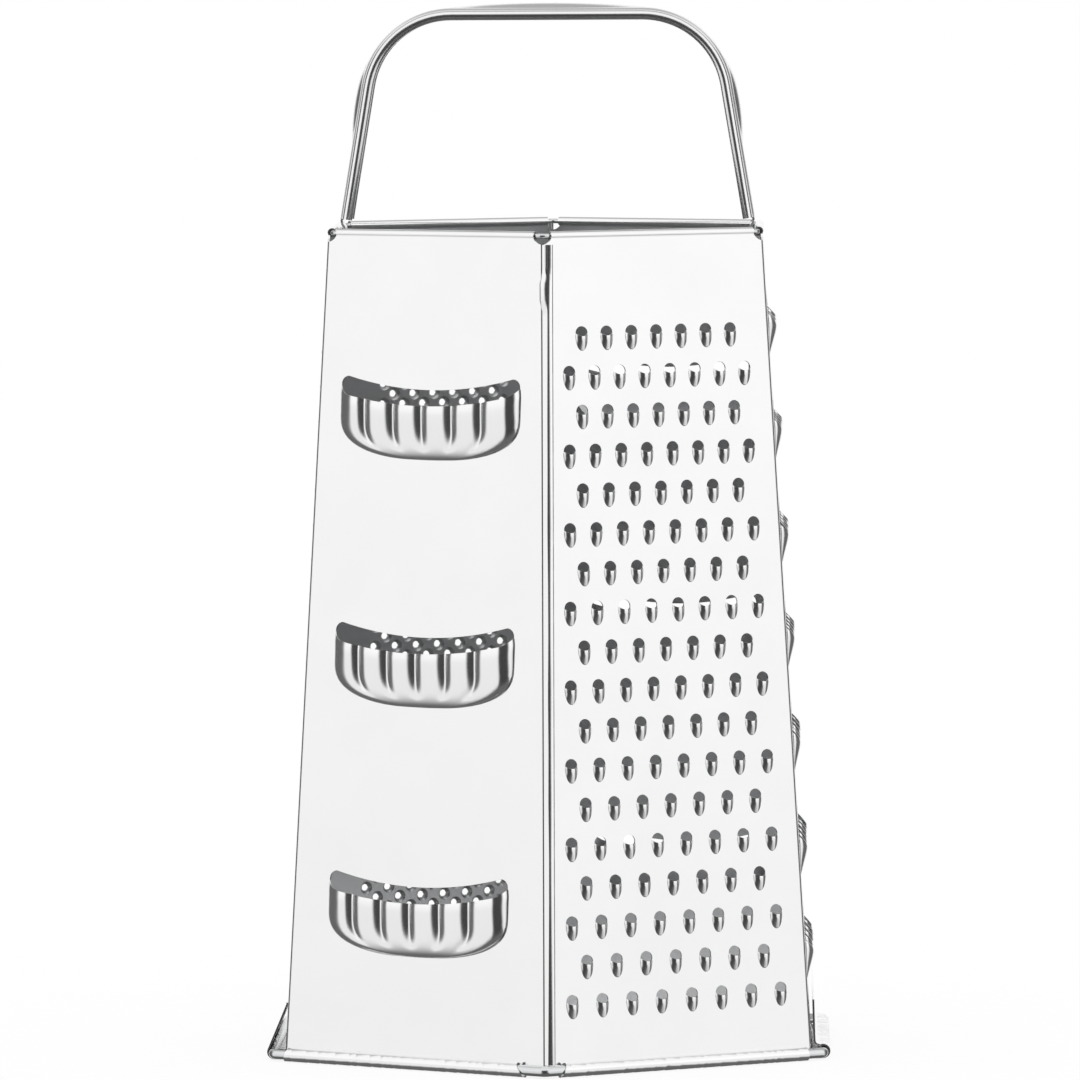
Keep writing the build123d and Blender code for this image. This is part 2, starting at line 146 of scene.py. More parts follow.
# Mirrored rays see the cards, and all others an even white.
seen = add_node(studio, "ShaderNodeLightPath")
reflected = add_node(studio, "ShaderNodeBackground", [("Strength", glow.outputs[0])], Color=srgb("#FFFFFF"))
even = add_node(studio, "ShaderNodeBackground", Color=srgb("#FFFFFF"), Strength=1.0)
shown = add_node(
    studio,
    "ShaderNodeMixShader",
    [(0, seen.outputs["Is Glossy Ray"]), (1, even.outputs[0]), (2, reflected.outputs[0])],
)
add_node(studio, "ShaderNodeOutputWorld", [("Surface", shown.outputs[0])])

floor_reach = 3.0
floor_corners = [(x * floor_reach, y * floor_reach, 0.0) for x, y in ((-1, -1), (1, -1), (1, 1), (-1, 1))]
floor_mesh = bpy.data.meshes.new("tent_floor")
floor_mesh.from_pydata(floor_corners, [], [(0, 1, 2, 3)])
tent_floor = bpy.data.objects.new("tent_floor", floor_mesh)
bpy.context.collection.objects.link(tent_floor)
tent_floor.visible_glossy = False

# White paper: most of it glows plainly for the camera, and the rest takes the shadow.
paper_white, paper_glow_share = 1.02, 0.86
paper = bpy.data.materials.new("white_paper_sweep")
paper.use_nodes = True
paper_tree = paper.node_tree
paper_tree.nodes.clear()
ray = add_node(paper_tree, "ShaderNodeLightPath")
paper_sheet = add_node(paper_tree, "ShaderNodeBsdfDiffuse", Color=srgb("#F4F4F4"))
paper_glow = add_node(paper_tree, "ShaderNodeEmission", Color=srgb("#FFFFFF"), Strength=paper_white)
shown_rays = add_node(
    paper_tree,
    "ShaderNodeMath",
    [(0, ray.outputs["Is Camera Ray"]), (1, ray.outputs["Is Glossy Ray"])],
    operation="MAXIMUM",
)
glow_share = add_node(paper_tree, "ShaderNodeMath", [(0, shown_rays.outputs[0])], operation="MULTIPLY")
glow_share.inputs[1].default_value = paper_glow_share
paper_mix = add_node(
    paper_tree,
    "ShaderNodeMixShader",
    [(0, glow_share.outputs[0]), (1, paper_sheet.outputs[0]), (2, paper_glow.outputs[0])],
)
add_node(paper_tree, "ShaderNodeOutputMaterial", [("Surface", paper_mix.outputs[0])])
floor_mesh.materials.append(paper)

# The camera stands where a fit to the photograph's corners puts it.
camera_distance, camera_height = 2.2, 0.2524
camera_azimuth, camera_pitch, camera_roll = radians(1.31), radians(3.60), radians(-0.269)
focal_pixels, photo_pixels, centre_offset_pixels = 9778.0, 1080.0, 9.4
sensor_mm, view_reach = 36.0, 20.0

camera_data = bpy.data.cameras.new("camera")
camera_data.sensor_width = sensor_mm
camera_data.lens = focal_pixels / photo_pixels * sensor_mm
camera_data.shift_x = -centre_offset_pixels / photo_pixels
camera_data.clip_end = view_reach
camera = bpy.data.objects.new("camera", camera_data)
bpy.context.collection.objects.link(camera)
across_view = Vector((cos(camera_azimuth), sin(camera_azimuth), 0.0))
into_view = Vector((-sin(camera_azimuth), cos(camera_azimuth), 0.0))
straight = Vector((0.0, 0.0, 1.0))
forward = into_view * cos(camera_pitch) - straight * sin(camera_pitch)
upward = into_view * sin(camera_pitch) + straight * cos(camera_pitch)
rolled_right = across_view * cos(camera_roll) + upward * sin(camera_roll)
rolled_up = upward * cos(camera_roll) - across_view * sin(camera_roll)
turn = Matrix((rolled_right, rolled_up, -forward)).transposed().to_4x4()
camera.matrix_world = Matrix.Translation(straight * camera_height - into_view * camera_distance) @ turn
bpy.context.scene.camera = camera
bpy.context.scene.view_settings.view_transform = "Standard"

# Tinplate
# Mild steel sheet with a flow-brightened coat of tin: almost white, with the
# long faint lines of the rolling mill, and a soft mirror that blurs what it shows.
tin_grain_mm, tin_line_mm, tin_cloud_mm = 0.35, 0.25, 18.0
line_squeeze, rough_spread = 0.04, 0.15


def tinplate(name, color, roughness, line_bump, cloud_bump):
    """Tin-coated steel; the lines of rolling run along Z."""
    material = bpy.data.materials.new(name)
    material.use_nodes = True
    tree = material.node_tree
    tree.nodes.clear()
    place = add_node(tree, "ShaderNodeTexCoord")
    stretched = add_node(tree, "ShaderNodeMapping", [("Vector", place.outputs["Object"])])
    stretched.inputs["Scale"].default_value = (1.0, 1.0, line_squeeze)
    lines = add_node(
        tree, "ShaderNodeTexNoise", [("Vector", stretched.outputs[0])],
        Scale=1 / (tin_line_mm * MM), Detail=2.0, Roughness=0.6,
    )
    clouds = add_node(
        tree, "ShaderNodeTexNoise", [("Vector", place.outputs["Object"])],
        Scale=1 / (tin_cloud_mm * MM), Detail=3.0, Roughness=0.5,
    )
    grain = add_node(
        tree, "ShaderNodeTexNoise", [("Vector", place.outputs["Object"])],
        Scale=1 / (tin_grain_mm * MM), Detail=1.0,
    )
    shade = add_node(tree, "ShaderNodeMix", [(0, clouds.outputs["Fac"])], data_type="RGBA")
    shade.inputs[6].default_value = srgb(color[0])
    shade.inputs[7].default_value = srgb(color[1])
    rough = add_node(
        tree, "ShaderNodeMapRange", [("Value", grain.outputs["Fac"])], From_Min=0.3, From_Max=0.7,
        To_Min=roughness * (1 - rough_spread), To_Max=roughness * (1 + rough_spread),
    )
    rolled = add_node(
        tree, "ShaderNodeBump", [("Height", lines.outputs["Fac"])], Strength=1.0, Distance=line_bump * MM
    )
    waved = add_node(
        tree, "ShaderNodeBump", [("Height", clouds.outputs["Fac"]), ("Normal", rolled.outputs[0])],
        Strength=1.0, Distance=cloud_bump * MM,
    )
    coat = add_node(
        tree,
        "ShaderNodeBsdfPrincipled",
        [("Base Color", shade.outputs[2]), ("Roughness", rough.outputs[0]), ("Normal", waved.outputs[0])],
        Metallic=1.0,
    )
    add_node(tree, "ShaderNodeOutputMaterial", [("Surface", coat.outputs[0])])
    return material


# The outer face of the walls: a bright coat of tin that was melted to flow.
bright_tin = tinplate("flow_brightened_tinplate", ("#F4F4F4", "#FAFAFA"), 0.16, 0.0004, 0.06)
# The inner face of the walls: the same tinplate, rougher, with painted shade: its colour is greyer to stand
# in for the dim light inside the grater.
shaded_inner_tin = tinplate("inner_tin_with_painted_shade", ("#CDCECF", "#D6D7D8"), 0.38, 0.0008, 0.06)
# The handle's strip: tinplate burnished by the forming rolls.
rolled_strip_tin = tinplate("roll_formed_strip_tinplate", ("#F0F0F0", "#F6F6F6"), 0.2, 0.0002, 0.03)
# The two wires: steel drawn through a die, then tinned.
drawn_wire = tinplate("tinned_drawn_wire", ("#DADBDC", "#E6E7E8"), 0.2, 0.0006, 0.0)

# Walls: the shared sheet
# Six flat walls of 0.4 mm tinplate stand round a tapered hexagon. The sheet is
# bent at four corners and lock seamed at the front and back ones. Its top is
# rolled in over a wire, and its base is hemmed out over a thicker wire.
flats_at_base, flats_at_rim, rim_height = 117.4, 96.4, 185.3
sheet, bend_radius, corner = 0.4, 1.2, radians(30)
rim_wire_size, base_wire_size, wire_room = 1.1, 2.3, 0.05
notch_radius, notch_drop = 2.5, 0.5
base_apothem = flats_at_base / 2
lean = atan((flats_at_base - flats_at_rim) / 2 / rim_height)
rim_roll = rim_wire_size / 2 + wire_room + sheet
base_roll = base_wire_size / 2 + wire_room + sheet
rim_slope = rim_height / cos(lean)
foot_flat = 0.03
close_wire_offset = base_roll - sheet
hem_level = (base_roll - foot_flat) / cos(lean)
bend_run = bend_radius * tan(corner)
middle = -sheet / 2


def half_width(v, w=0.0):
    """Half the width of a wall at height v, for a point that is w out of its face."""
    return (base_apothem - v * sin(lean) + w * cos(lean)) * tan(corner)


def on_wall(azimuth, points):
    """World places, in metres, of points u, v, w (mm) on the wall that faces azimuth."""
    u, v, w = np.asarray(points, float).T
    a = radians(azimuth)
    out = base_apothem - v * sin(lean) + w * cos(lean)
    x = out * cos(a) - u * sin(a)
    y = out * sin(a) + u * cos(a)
    z = v * cos(lean) + w * sin(lean)
    return np.stack([x, y, z], 1) * MM


# Kinds of patch: the flat wall, what is pressed out of it, and its bends, rolls and folds.
FLAT, PRESSED, CURVED = 0, 1, 2
# A cut lip of pressed sheet is sheared down to this share of its thickness.
lip_share = 0.4
weld_mm, cut_accuracy = 0.002, 1e-5


def joined(points, faces, kinds):
    """The patches as one welded mesh, with its sides turned one way and the flats outward."""
    mesh = bpy.data.meshes.new("patches")
    mesh.from_pydata(points, [], faces)
    mesh.polygons.foreach_set("material_index", kinds)
    work = bmesh.new()
    work.from_mesh(mesh)
    bpy.data.meshes.remove(mesh)
    bmesh.ops.remove_doubles(work, verts=work.verts, dist=weld_mm * MM)
    bmesh.ops.dissolve_degenerate(work, edges=work.edges, dist=weld_mm / 2 * MM)
    bmesh.ops.recalc_face_normals(work, faces=work.faces)
    outward = 0.0
    for face in work.faces:
        if face.material_index == FLAT:
            outward += face.normal.xy.dot(face.calc_center_median().xy) * face.calc_area()
    if outward < 0:
        bmesh.ops.reverse_faces(work, faces=work.faces)
    work.normal_update()
    work.verts.index_update()
    return work


class Sheetwork:
    """Patches of one sheet's middle surface, made into one closed sheet at the end."""

    def __init__(self):
        self.points, self.faces, self.kinds = [], [], []

    def add(self, points, faces, kind=CURVED):
        """Takes in one patch: its points, and its faces by the numbers of these."""
        start = sum(len(p) for p in self.points)
        self.points.append(np.asarray(points, float))
        self.faces += [[i + start for i in face] for face in faces]
        self.kinds += [kind] * len(faces)

    def make(self, name, thickness, *coats):
        """Moves the surface half a sheet out and half a sheet in, and closes the edges.

        With no thickness it stays as it is, which suits a surface that is closed already.
        """
        work = joined(np.concatenate(self.points).tolist(), self.faces, self.kinds)
        points = []
        for side in (0.5, -0.5) if thickness else (0.0,):
            for vert in work.verts:
                flats = [face.normal for face in vert.link_faces if face.material_index == FLAT]
                normal = flats[0] if flats else vert.normal
                lip = vert.is_boundary and all(face.material_index == PRESSED for face in vert.link_faces)
                share = lip_share if lip else 1.0
                points.append(vert.co + normal * (side * thickness * MM * share))
        count = len(work.verts)
        faces, soft, slots, cut_edges = [], [], [], set()
        for face in work.faces:
            loop, kind = [vert.index for vert in face.verts], face.material_index
            both = [loop, [i + count for i in reversed(loop)]] if thickness else [loop]
            faces += both
            soft += [kind != FLAT] * len(both)
            # Inner faces of flat and pressed patches take the second coat, whose grey is painted shade for
            # the inside; curved bits keep the bright coat on both sides.
            slots += [0, int(kind != CURVED)][:len(both)]
        for edge in work.edges if thickness else ():
            if len(edge.link_faces) == 1:
                corner_loop = edge.link_loops[0]
                a, b = corner_loop.vert.index, corner_loop.link_loop_next.vert.index
                faces.append([b, a, a + count, b + count])
                cut_edges |= {frozenset(pair) for pair in ((a, b), (a + count, b + count))}
                soft.append(False)
                slots.append(0)
        work.free()
        mesh = bpy.data.meshes.new(name)
        mesh.from_pydata(points, [], faces)
        mesh.polygons.foreach_set("use_smooth", soft)
        for coat in coats:
            mesh.materials.append(coat)
        mesh.polygons.foreach_set("material_index", slots)
        sharp = [frozenset(edge.vertices) in cut_edges for edge in mesh.edges]
        mesh.edges.foreach_set("use_edge_sharp", sharp)
        mesh.update()
        piece = bpy.data.objects.new(name, mesh)
        bpy.context.collection.objects.link(piece)
        return piece


def arc_points(centre, radius, start, turn, step=10.0):
    """Points of an arc about a centre, angles in degrees."""
    count = ceil(abs(turn) / step)
    angles = np.radians(start + turn * np.arange(count + 1) / count)
    return [(centre[0] + radius * cos(a), centre[1] + radius * sin(a)) for a in angles]


def flat_with_holes(outline, holes):
    """Triangles of the flat sheet inside an outline and outside the holes, with their points."""
    loops = [outline] + holes
    points = [Vector(p) for loop in loops for p in loop]
    faces, start = [], 0
    for loop in loops:
        faces.append(list(range(start, start + len(loop))))
        start += len(loop)
    places, _, triangles, _, _, owners = delaunay_2d_cdt(points, [], faces, 1, cut_accuracy)
    kept = [t for t, owner in zip(triangles, owners) if 0 in owner and len(owner) == 1]
    return [(p[0], p[1]) for p in places], kept


bend_steps, rim_columns, notch_points = 8, 3, 7


def bend_columns():
    """Places along and out of the wall on its half of a bent corner."""
    angles = [corner * i / bend_steps for i in range(bend_steps + 1)]
    radius = bend_radius - sheet / 2
    return [(radius * sin(a) - bend_run, radius * cos(a) - bend_radius) for a in angles]


def notch_edge(distance):
    """Height v where the corner's notch cuts the sheet, so far in from the corner."""
    return rim_slope - notch_drop - sqrt(notch_radius**2 - distance**2)


# The rim's roll stands a little proud of the wall, on a shoulder whose steps are
# shares of that and of the roll's size. The close hem wraps its wire nearly round.
rim_proud, rim_shoulder = 0.2, 1.6
shoulder_steps = ((0.15, 1.42), (0.6, 1.22))
rim_arc, close_hem_arc = (-5, 300), (180, 325)
rim_line = rim_slope - rim_shoulder
rim_centre = (rim_proud - rim_roll, rim_slope - rim_roll)
rim_curl_profile = [(middle, rim_line)]
for out, drop in shoulder_steps:
    rim_curl_profile.append((middle + rim_proud * out, rim_slope - rim_roll * drop))
rim_curl_profile += arc_points(rim_centre, rim_roll - sheet / 2, *rim_arc)
hem_centre_radius = base_roll - sheet / 2
close_hem_profile = arc_points((close_wire_offset, hem_level), hem_centre_radius, *close_hem_arc)
tail_bend, tail_clear = 1.3, 1.1


def tail_hem_profile(offset, tail):
    """Hem that goes under a wire that stands off the wall, and up to its tail's points."""
    radius, bend = hem_centre_radius, tail_bend
    under = hem_level - radius
    dw, dv = offset - tail[0][0], tail[0][1] - hem_level
    reach = hypot(dw, dv)
    tangent = 0.0
    if reach > radius * tail_clear:
        tangent = degrees(atan(dw / dv) + atan(radius / sqrt(reach**2 - radius**2)))
    down = [(middle, hem_level)] + arc_points((middle + bend, under + bend), bend, 180, 90)
    wrap = arc_points((offset, hem_level), radius, -90, 90 + tangent)
    return down + wrap + tail


hem_noise = np.random.default_rng(7)
mark_half, mark_depths, mark_steps = 0.3, (0.02, 0.09), (1.4, 4.2)
plain_end, first_mark, last_mark = 0.8, 1.2, 2.0
gather_rows, slant_run, on_roll = 4, 3.0, 0.05


def hem_marks(left, right):
    """Columns along the hem, and how deep the closing roll has marked each."""
    columns, depths = [left, left + plain_end], [0.0, 0.0]
    u = left + first_mark
    while u < right - last_mark:
        columns += [u, u + mark_half, u + mark_half * 2]
        depths += [0.0, hem_noise.uniform(*mark_depths), 0.0]
        u += hem_noise.uniform(*mark_steps)
    return columns + [right - plain_end, right], depths + [0.0, 0.0]


def rolled_hem(profile, centre_w, columns, depths, slants):
    """Rows of the hem's points: marked across, and cut aslant at both ends."""
    left, right = columns[0], columns[-1]
    grid = []
    for i, (w, v) in enumerate(profile):
        gather = min(1.0, i / gather_rows)
        rolled = abs(hypot(w - centre_w, v - hem_level) - hem_centre_radius) < on_roll
        low_share = (hem_level - v) / hem_centre_radius / 2
        row = []
        for u, depth in zip(columns, depths):
            shrink = 1 - depth * gather / hem_centre_radius if rolled else 1.0
            near_left = max(0.0, 1 - (u - left) / slant_run)
            near_right = max(0.0, 1 - (right - u) / slant_run)
            shift = (near_right * slants[1] - near_left * slants[0]) * low_share * gather
            marked_v, marked_w = hem_level + (v - hem_level) * shrink, centre_w + (w - centre_w) * shrink
            row.append((u + shift, marked_v, marked_w))
        grid.append(row)
    return np.array(grid)


def grid_faces(rows, columns):
    """Four-sided faces between the points of a grid that is stored row by row."""
    return [
        (r * columns + c, r * columns + c + 1, (r + 1) * columns + c + 1, (r + 1) * columns + c)
        for r in range(rows - 1)
        for c in range(columns - 1)
    ]


def wall_sheet(azimuth, hem_profile, wire_offset, gaps, slants, holes, patches):
    """Sheetwork of one wall with its roll, hem, half bends, holes and pressed patches.

    The hem stops short of the left and right corners by the gaps, and its ends lean by the slants.
    """
    work = Sheetwork()

    def add_grid(grid):
        work.add(on_wall(azimuth, grid.reshape(-1, 3)), grid_faces(*grid.shape[:2]))

    low = half_width(0)
    columns, depths = hem_marks(gaps[0] - low, low - gaps[1])
    add_grid(rolled_hem(hem_profile, wire_offset, columns, depths, slants))

    top_half = half_width(rim_line)
    cut = sqrt(notch_radius**2 - (rim_shoulder - notch_drop) ** 2)
    top_columns = np.linspace(cut - top_half, top_half - cut, rim_columns)
    add_grid(np.array([[(u, v, w) for u in top_columns] for w, v in rim_curl_profile]))

    arc = [(d, notch_edge(d)) for d in np.linspace(bend_run, cut, notch_points)]
    right_edge = [(half_width(v) - d, v) for d, v in arc]
    right_edge[-1] = (top_half - cut, rim_line)
    left_edge = [(-u, v) for u, v in right_edge]
    foot = low - bend_run - hem_level * sin(lean) * tan(corner)
    outline = [(-foot, hem_level)] + [(u, hem_level) for u in columns] + [(foot, hem_level)]
    outline += right_edge + [(0.0, rim_line)] + left_edge[::-1]
    flat, triangles = flat_with_holes(outline, holes)
    work.add(on_wall(azimuth, [(u, v, middle) for u, v in flat]), triangles, FLAT)
    for side_sign in (-1, 1):
        lines = []
        for run, w in bend_columns():
            top = notch_edge(-run if run < 0 else 0.0)
            lines.append([
                (side_sign * (half_width(hem_level) + run), hem_level, w),
                (side_sign * (half_width(top) + run), top, w),
            ])
        add_grid(np.array(lines))
    for points, faces in patches:
        work.add(on_wall(azimuth, points), faces, PRESSED)
    return work


# Lock seam: the edges of two sheets are folded back and hook each other on the
# wall that has the seam at its left. A seaming roll has pressed it flat, harder
# near the top and the foot, and has dented the front one once below the rim.
seam_width, seam_gap = 2.2, 0.06
seam_layer = sheet + seam_gap
seam_near = seam_layer * 2
seam_far = seam_width - seam_layer - sheet / 2
seam_reach, press_short, seam_rows, back_seam_above = 1.3, 0.6, 150, 1.7
tip_round, crest_offset = (0.16, 0.03), (0.1, -0.05)
press_knot, press_most, foot_press, foot_press_run = 12.0, 0.4, 0.75, 45.0
top_press_from, top_press_run = 174.5, 2.5
dent_low, dent_high, dent_edge = 168.6, 175.8, 1.2
dent_share, dent_lift, dent_back, dent_step = 0.45, 0.55, 0.6, 0.05
press_noise = np.random.default_rng(5)


def seam_run(work, azimuth, fold, above_notch=0.0):
    """Adds a fold, drawn out from the corner at the wall's left, to the sheetwork."""
    foot = base_roll + base_wire_size / 2 + wire_room
    top = (rim_slope - notch_radius - notch_drop + above_notch) * cos(lean)
    knots = np.arange(0.0, rim_slope + press_knot, press_knot)
    pressed = press_noise.uniform(0.0, press_most, len(knots))
    rows = []
    for level in np.linspace(foot, top, seam_rows):
        v = level / cos(lean)
        near_top = min(1.0, max(0.0, (v - top_press_from) / top_press_run))
        near_foot = max(0.0, 1 - v / foot_press_run)
        press = max(np.interp(v, knots, pressed), near_top, foot_press * near_foot)
        dent = 0.0
        if azimuth < 0:
            dent = max(0.0, min(1.0, (v - dent_low) / dent_edge, (dent_high - v) / dent_edge))
        rows.append([(x - half_width(v), v, -y) for x, y in fold(press, dent)])
    grid = np.array(rows)
    work.add(on_wall(azimuth, grid.reshape(-1, 3)), grid_faces(*grid.shape[:2]))


def inner_fold(press, dent):
    """The hook inside the seam, which neither the pressing nor the dent reaches."""
    low = sheet / 2 - seam_layer
    back = arc_points((seam_near, low), seam_layer, 90, 180, 20)
    return [(seam_far, sheet / 2)] + back + [(seam_far, low - seam_layer)]


def outer_fold(press, dent):
    """The left wall's sheet: it runs on past the corner, and turns back over the hook.

    Where the seaming roll has pressed hard, the run is short and the fold faces forward.
    """
    low = sheet / 2 - seam_layer
    high = low - seam_layer * 2
    turn_back = arc_points((seam_far, (low + high) / 2), seam_layer, 90, -180, 20)
    start, run = (sheet / 2 * cos(corner), sheet / 2 * sin(corner)), (sin(corner), -cos(corner))
    outward = (-cos(corner), -sin(corner))
    tip = seam_reach - press_short * press
    rounded = (tip - tip_round[0], tip_round[1])
    dented = [(tip * dent_share, dent_lift * dent), (-dent_back * dent, dent_step * dent)]
    knuckle = [
        (start[0] + reach * run[0] + lift * outward[0], start[1] + reach * run[1] + lift * outward[1])
        for reach, lift in [(tip, 0.0), rounded] + dented
    ]
    crest = (knuckle[0][0] + crest_offset[0], knuckle[0][1] + crest_offset[1])
    return [(seam_near, low)] + turn_back + [crest] + knuckle


# Punched teeth
# Each tooth is pierced and pushed out of the flat wall by a half-round punch:
# a hood that opens upward at a sharp lip, under a half-round hole.
punch_noise = np.random.default_rng(11)
tooth_tilt, rise_spread = radians(1.6), (0.92, 1.04)
row_crowding, hood_narrowing, hood_end_power, hood_fall_power, hood_cross_power = 1.7, 0.42, 7, 1.5, 2.3


def hooded_tooth(u0, v0, half, height, length, slope, flank, across, along, turned=1):
    """Outline of the tooth on the flat sheet, and its hood's points and faces."""
    tilt = punch_noise.normal(0, tooth_tilt)
    rise_share = punch_noise.uniform(*rise_spread)
    spin = turned * complex(cos(tilt), sin(tilt))

    def placed(u, v):
        spot = complex(u, v) * spin
        return u0 + spot.real, v0 + spot.imag

    shares = 1 - (1 - np.linspace(0, 1, along + 1)) ** row_crowding
    grid = []
    for share in shares[:-1]:
        width = half * (1 - hood_narrowing * share**2) * sqrt(1 - share**hood_end_power)
        rise = height * rise_share * (1 - share**hood_fall_power)
        row = []
        for t in np.cos(np.pi * np.arange(across + 1) / across)[::-1]:
            w = rise * (1 - abs(t) ** hood_cross_power) ** flank
            row.append((*placed(width * t, -share * length - slope * w * (1 - share)), middle + w))
        grid.append(row)
    points = [p for row in grid for p in row] + [(*placed(0.0, -length), middle)]
    tip, last = len(points) - 1, (along - 1) * (across + 1)
    faces = grid_faces(along, across + 1) + [(last + c, last + c + 1, tip) for c in range(across)]
    hole = [placed(half * cos(a), half * sin(a)) for a in np.linspace(0, pi, across + 1)]
    left = [row[0][:2] for row in grid[1:]]
    right = [row[-1][:2] for row in grid[1:]]
    return hole + left + [points[tip][:2]] + right[::-1], (points, faces)


def tooth_rows(top_row, row_pitch, rows, columns, pitch_share, margin=0.0):
    """Row number and place u, v of each tooth, spread as the wall widens."""
    for row in range(rows):
        v = top_row - row_pitch * row
        count = columns[row % len(columns)]
        pitch = pitch_share * (half_width(v) - margin)
        for i in range(count):
            yield row, (i - (count - 1) / 2) * pitch, v


def punched(teeth, rise, tooth, by_turns=False):
    """Holes and hoods of a wall's teeth. By turns, every second row is upside down."""
    holes, patches = [], []
    for row, u, v in teeth:
        turned = -1 if by_turns and row % 2 else 1
        outline, hood = hooded_tooth(u, v + turned * rise, **tooth, turned=turned)
        holes.append(outline)
        patches.append(hood)
    return holes, patches


# Medium grater wall
# The front right wall: 18 rows of small hooded teeth, seven and eight by turns,
# each row spread as the wall widens. The lock seam lies on its left edge.
medium_tooth = dict(half=1.5, height=1.05, length=3.9, slope=0.7, flank=1.0, across=14, along=10)
medium_rise = 1.1
medium_azimuth, medium_gaps, medium_slants = -60, (3.75, 2.2), (1.3, 0.4)
medium_teeth = tooth_rows(
    top_row=162.0, row_pitch=8.63, rows=18, columns=(7, 8), pitch_share=0.2682, margin=5.26
)
holes, patches = punched(medium_teeth, medium_rise, medium_tooth)
work = wall_sheet(
    medium_azimuth, close_hem_profile, close_wire_offset, medium_gaps, medium_slants, holes, patches
)
seam_run(work, medium_azimuth, inner_fold)
medium_wall = work.make("medium_wall_sheet", sheet, bright_tin, shaded_inner_tin)
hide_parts("medium_grater_wall")
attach(medium_wall, "root")

# Coarse grater wall
# The right wall: seven rows of five large hooded teeth for cheese and potatoes.
# Its hem stands off on the wire, and the hem's tail is pressed along the wall.
side_wire_offset, side_gaps, side_slants = 2.6, (2.4, 2.4), (0.0, 0.0)
coarse_azimuth = 0
coarse_tooth = dict(half=3.6, height=2.0, length=9.5, slope=1.2, flank=0.6, across=22, along=16)
coarse_rise = 2.95
coarse_teeth = tooth_rows(top_row=163.2, row_pitch=23.3, rows=7, columns=(5,), pitch_share=0.36)
holes, patches = punched(coarse_teeth, coarse_rise, coarse_tooth)
tight_turns = [15, 35, 55, 75, 95, 112]
tail_neck, tail_flat = ((1.35, 1.55), (1.0, 1.85), (0.82, 2.4)), [(0.85, 6.0), (1.1, 13.2)]
right_tail = [
    (side_wire_offset + hem_centre_radius * cos(a), hem_level + hem_centre_radius * sin(a))
    for a in np.radians(tight_turns)
]
right_tail += [(out, hem_level + up) for out, up in tail_neck] + tail_flat
right_hem = tail_hem_profile(side_wire_offset, right_tail)
work = wall_sheet(coarse_azimuth, right_hem, side_wire_offset, side_gaps, side_slants, holes, patches)
coarse_wall = work.make("coarse_wall_sheet", sheet, bright_tin, shaded_inner_tin)
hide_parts("coarse_grater_wall")
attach(coarse_wall, "root")

# Fine grater wall
# The left wall: 38 close rows of small pricked points, cutting up and down by
# turns. The hem's tail leans back on the wall.
fine_tooth = dict(half=0.75, height=0.38, length=1.6, slope=0.3, flank=0.8, across=6, along=5)
fine_rise = 1.1
fine_azimuth, left_tail_heights = 180, (12.4, 12.8)
fine_teeth = tooth_rows(top_row=162.3, row_pitch=3.87, rows=38, columns=(14, 15), pitch_share=0.115)
holes, patches = punched(fine_teeth, fine_rise, fine_tooth, by_turns=True)
left_tail = [(sheet / 2 + wire_room, v) for v in left_tail_heights]
left_hem = tail_hem_profile(side_wire_offset, left_tail)
work = wall_sheet(fine_azimuth, left_hem, side_wire_offset, side_gaps, side_slants, holes, patches)
fine_wall = work.make("fine_wall_sheet", sheet, bright_tin, shaded_inner_tin)
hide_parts("fine_grater_wall")
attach(fine_wall, "root")

# Rasp wall
# The back left wall: hundreds of small holes pricked out from the inside, each
# with a torn raised edge, in close staggered rows. The back seam lies on it.
burst_radius, burst_hole, burst_height, burst_sides = 1.5, 0.82, 0.75, 12
waist_radius, waist_height, torn_shares = burst_radius * 0.78, burst_height * 0.4, (-0.12, 0.22)
rasp_azimuth, rasp_gaps, rasp_slants = 120, (5.4, 2.4), (0.8, 0.4)


def burst(u0, v0):
    """Outline and raised ring of one pricked hole."""
    rings = []
    for radius, lift in ((burst_radius, 0.0), (waist_radius, waist_height), (burst_hole, burst_height)):
        ring = []
        for i in range(burst_sides):
            a = 2 * pi * i / burst_sides
            torn = 1 + torn_shares[i % 2] * lift / burst_height
            ring.append((u0 + radius * cos(a), v0 + radius * sin(a), middle + lift * torn))
        rings.append(ring)
    n = burst_sides
    faces = [
        (r * n + i, r * n + (i + 1) % n, (r + 1) * n + (i + 1) % n, (r + 1) * n + i)
        for r in range(2)
        for i in range(n)
    ]
    return [p[:2] for p in rings[0]], ([p for ring in rings for p in ring], faces)


rasp_holes = tooth_rows(top_row=164.25, row_pitch=2.33, rows=62, columns=(6, 7), pitch_share=0.1775)
holes, patches = [], []
for _, u, v in rasp_holes:
    outline, ring = burst(u, v)
    holes.append(outline)
    patches.append(ring)
work = wall_sheet(
    rasp_azimuth, close_hem_profile, close_wire_offset, rasp_gaps, rasp_slants, holes, patches
)
seam_run(work, rasp_azimuth, inner_fold, back_seam_above)
rasp_sheet = work.make("rasp_wall_sheet", sheet, bright_tin, shaded_inner_tin)
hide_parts("rasp_wall")
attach(rasp_sheet, "root")

# Slicer walls
# The front left and back right walls: three curved slots, each with a blade that
# is drawn out of the wall under it. The front blades are fluted.
lip_heights, back_slot_rise = (36.7, 91.9, 146.6), 1.1
slicer_half, slot_width, slot_sag, slot_points, end_points = 23.2, 3.6, 2.8, 24, 6
blade_depth, square_depth, blade_height, blade_taper = 11.8, 5.0, 2.6, 0.12
blade_foot_power, blade_rows, rib_columns = 2.5, 19, 14
flute_marks = [-16.07, -8.62, -1.22, 6.56, 14.18]
flute_depth, flute_length, flute_half, flute_root = 0.82, 9.8, 2.3, 0.2
flute_power, flute_fade_power = 1.5, 4
blade_end_runs, blade_end_power, blade_fall_power, blade_crown_power = (5.2, 3.0), 1.6, 2.5, 1.3
lip_turn_up, lip_turn_run = 1.45, 2.4
wavy_azimuth, wavy_gaps, wavy_slants = -120, (1.5, 5.25), (1.1, 1.9)
straight_azimuth, straight_gaps, straight_slants = 60, (2.4, 5.4), (0.4, 0.8)


